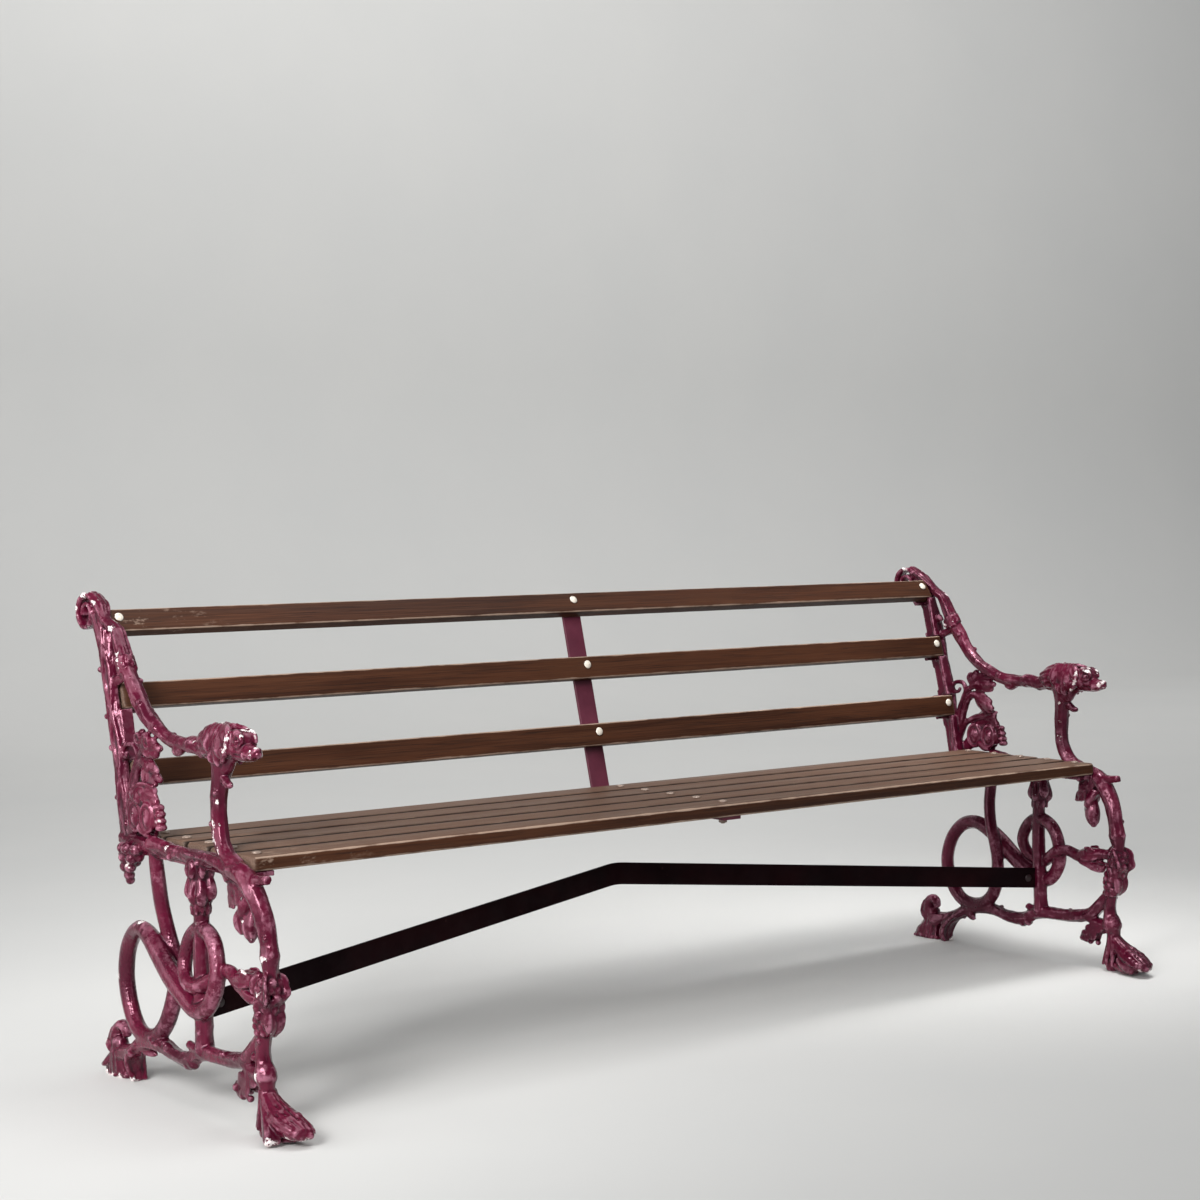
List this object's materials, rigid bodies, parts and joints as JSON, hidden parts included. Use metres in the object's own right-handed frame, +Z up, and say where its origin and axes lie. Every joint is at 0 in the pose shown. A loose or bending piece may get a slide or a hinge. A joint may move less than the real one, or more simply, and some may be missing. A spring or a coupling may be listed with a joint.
{
  "type": "park bench",
  "caption": "Long garden bench: timber seat and back slats bolted to rustic cast-iron ends with branches, a serpent, hound-head arms and paw feet, plus a centre strap and a cross brace.",
  "frame": {"origin": "on the ground, under the middle of the bench's box", "axes": "+X along the bench, to the right as seen from the front; +Y to the rear; +Z up"},
  "size_m": [2.0986, 0.7224, 0.8227],
  "materials": {
    "casting_paint": "gloss burgundy enamel, chipped on the high spots",
    "timber": "dark oiled hardwood, worn along the edges",
    "strap_paint": "dull burgundy paint",
    "brace_paint": "near-black maroon paint",
    "bolt_paint": "cream paint on domed heads"
  },
  "bodies": {
    "root": {"end_casting_left": "casting_paint", "end_casting_right": "casting_paint", "seat_slat_1": "timber", "seat_slat_2": "timber", "seat_slat_3": "timber", "seat_slat_4": "timber", "seat_slat_5": "timber", "back_slat_1": "timber", "back_slat_2": "timber", "back_slat_3": "timber", "centre_strap": "strap_paint", "cross_brace": "brace_paint", "back_bolt_1_left": "bolt_paint", "back_nut_1_left": "bolt_paint", "back_bolt_1_centre": "bolt_paint", "back_nut_1_centre": "bolt_paint", "back_bolt_1_right": "bolt_paint", "back_nut_1_right": "bolt_paint", "back_bolt_2_left": "bolt_paint", "back_nut_2_left": "bolt_paint", "back_bolt_2_centre": "bolt_paint", "back_nut_2_centre": "bolt_paint", "back_bolt_2_right": "bolt_paint", "back_nut_2_right": "bolt_paint", "back_bolt_3_left": "bolt_paint", "back_nut_3_left": "bolt_paint", "back_bolt_3_centre": "bolt_paint", "back_nut_3_centre": "bolt_paint", "back_bolt_3_right": "bolt_paint", "back_nut_3_right": "bolt_paint", "seat_bolt_1_left": "bolt_paint", "seat_bolt_1_centre": "bolt_paint", "seat_bolt_1_right": "bolt_paint", "seat_nut_1_centre": "bolt_paint", "seat_bolt_2_left": "bolt_paint", "seat_bolt_2_centre": "bolt_paint", "seat_bolt_2_right": "bolt_paint", "seat_nut_2_centre": "bolt_paint", "seat_bolt_3_left": "bolt_paint", "seat_bolt_3_centre": "bolt_paint", "seat_bolt_3_right": "bolt_paint", "seat_nut_3_centre": "bolt_paint", "seat_bolt_4_left": "bolt_paint", "seat_bolt_4_centre": "bolt_paint", "seat_bolt_4_right": "bolt_paint", "seat_nut_4_centre": "bolt_paint", "seat_bolt_5_left": "bolt_paint", "seat_bolt_5_centre": "bolt_paint", "seat_bolt_5_right": "bolt_paint", "seat_nut_5_centre": "bolt_paint", "brace_bolt_left": "bolt_paint", "brace_nut_left": "bolt_paint", "brace_bolt_right": "bolt_paint", "brace_nut_right": "bolt_paint"}
  },
  "joints": []
}
